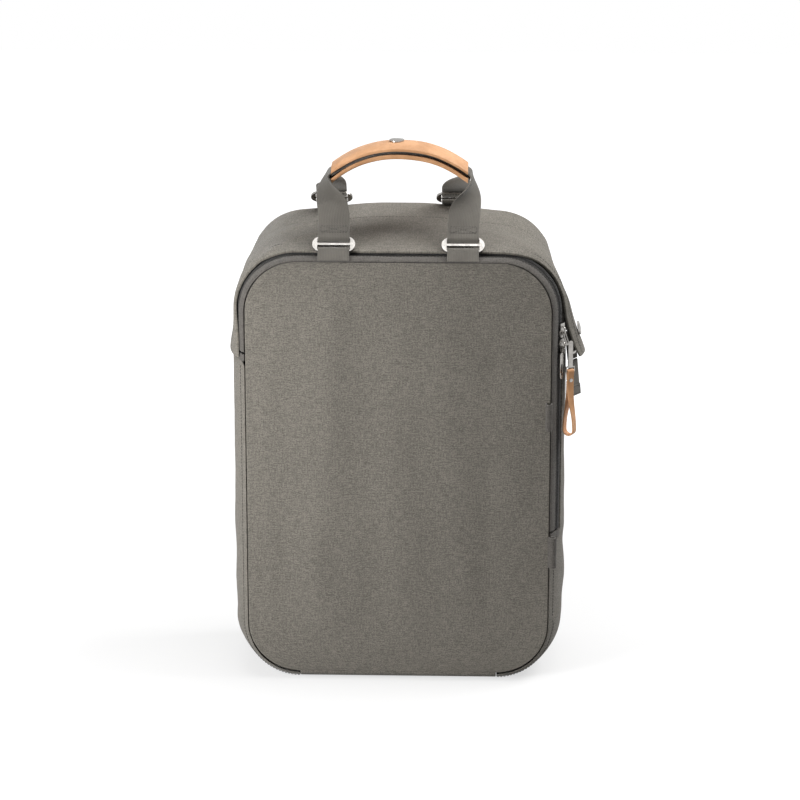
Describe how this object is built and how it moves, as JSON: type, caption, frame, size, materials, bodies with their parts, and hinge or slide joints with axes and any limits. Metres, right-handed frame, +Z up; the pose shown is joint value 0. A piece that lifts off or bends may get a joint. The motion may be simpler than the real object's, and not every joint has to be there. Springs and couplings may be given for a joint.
{
  "type": "travel backpack",
  "caption": "Canvas daypack with a zipped front panel, rain hood, webbing handles joined by a folding leather grip, snap strap and padded shoulder straps.",
  "frame": {"origin": "centre of the flat base, on the surface that the pack stands on", "axes": "+Z up through the top of the pack, -Y out of the front panel, +X to the right in the front view"},
  "size_m": [0.3404, 0.1798, 0.5262],
  "materials": {
    "canvas": "washed, waxed cotton canvas",
    "trim_canvas": "washed cotton canvas, on the bias",
    "back_fabric": "padded canvas",
    "webbing": "woven cotton webbing",
    "zip_tape": "woven tape with a moulded coil",
    "lining": "plain woven lining",
    "leather": "vegetable-tanned, natural",
    "steel": "nickel-plated, lightly brushed",
    "plastic": "moulded"
  },
  "bodies": {
    "pack": {"front_foot_panel": "canvas", "zip_tape_body": "zip_tape", "zip_end_left": "zip_tape", "zip_end_right": "zip_tape", "hood": "canvas", "top_gusset": "canvas", "gusset_left": "canvas", "gusset_right": "canvas", "bottom_panel": "canvas", "bottom_board": "lining", "back_panel": "back_fabric", "back_foam": "lining", "body_lining": "lining", "laptop_sleeve": "lining", "inner_pocket": "lining", "side_loop_lower": "trim_canvas", "rear_tab_left": "webbing", "rear_tab_right": "webbing", "rear_ring_left": "steel", "rear_ring_right": "steel", "rear_handle": "webbing", "grip_lower": "leather", "snap_strap_root": "webbing", "snap_strap_stud": "steel", "hood_snap_cap": "steel", "strap_webbing_left": "webbing", "strap_webbing_right": "webbing", "strap_yoke": "back_fabric", "lower_anchor_left": "back_fabric", "lower_anchor_right": "back_fabric"},
    "front_flap": {"front_panel": "canvas", "front_lining": "lining", "zip_strip": "trim_canvas", "zip_tape_front": "zip_tape", "side_loop_upper": "trim_canvas", "front_tab_left": "webbing", "front_tab_right": "webbing", "front_ring_left": "steel", "front_ring_right": "steel", "front_handle": "webbing", "grip_snap_stud": "steel"},
    "grip_flap": {"grip_upper": "leather", "grip_snap_cap": "steel"},
    "upper_slider": {"slider_upper": "steel"},
    "lower_slider": {"slider_lower": "steel"},
    "upper_pull": {"pull_upper": "steel"},
    "lower_pull": {"pull_lower": "steel"},
    "leather_loop": {"leather_pull": "leather", "leather_pull_rivet": "steel"},
    "snap_strap": {"snap_strap_end": "webbing", "snap_strap_socket": "steel"},
    "left_strap": {"shoulder_strap_left": "back_fabric", "ladder_lock_left": "plastic"},
    "right_strap": {"shoulder_strap_right": "back_fabric", "ladder_lock_right": "plastic"}
  },
  "joints": [
    {"name": "front_open", "type": "hinge", "parent": "pack", "child": "front_flap", "pos_m": [0, -0.0705, 0.241], "axis": [0.8539, 0, -0.5205], "range_deg": [0, 50]},
    {"name": "grip_unsnap", "type": "hinge", "parent": "pack", "child": "grip_flap", "pos_m": [0, 0.019, 0.5161], "axis": [-1, 0, 0], "range_deg": [0, 120]},
    {"name": "upper_slider_run", "type": "slide", "parent": "pack", "child": "upper_slider", "axis": [0, 0, 1], "range_m": [0, 0.011]},
    {"name": "lower_slider_run", "type": "slide", "parent": "pack", "child": "lower_slider", "axis": [0, 0, -1], "range_m": [0, 0.176]},
    {"name": "upper_pull_swing", "type": "hinge", "parent": "upper_slider", "child": "upper_pull", "pos_m": [0.15684, -0.05409, 0.35197], "axis": [-0.6018, -0.7986, 0], "range_deg": [0, 100]},
    {"name": "lower_pull_swing", "type": "hinge", "parent": "lower_slider", "child": "lower_pull", "pos_m": [0.15684, -0.05409, 0.33697], "axis": [-0.6018, -0.7986, 0], "range_deg": [0, 100]},
    {"name": "leather_loop_swing", "type": "hinge", "parent": "upper_pull", "child": "leather_loop", "pos_m": [0.16362, -0.05319, 0.31306], "axis": [-0.891, -0.454, 0], "range_deg": [0, 70]},
    {"name": "snap_strap_swing", "type": "hinge", "parent": "pack", "child": "snap_strap", "pos_m": [0.1669, -0.0403, 0.321], "axis": [-0.5736, -0.8192, 0], "range_deg": [0, 110]},
    {"name": "left_strap_swing", "type": "hinge", "parent": "pack", "child": "left_strap", "pos_m": [-0.038, 0.0735, 0.43], "axis": [1, 0, 0], "range_deg": [0, 40]},
    {"name": "right_strap_swing", "type": "hinge", "parent": "pack", "child": "right_strap", "pos_m": [0.038, 0.0735, 0.43], "axis": [1, 0, 0], "range_deg": [0, 40]}
  ],
  "couplings": [
    {"joint": "grip_unsnap", "follows": "front_open", "ratio": 2.4},
    {"joint": "upper_slider_run", "follows": "front_open", "m_per_rad": 0.012605},
    {"joint": "lower_slider_run", "follows": "front_open", "m_per_rad": 0.20168}
  ]
}
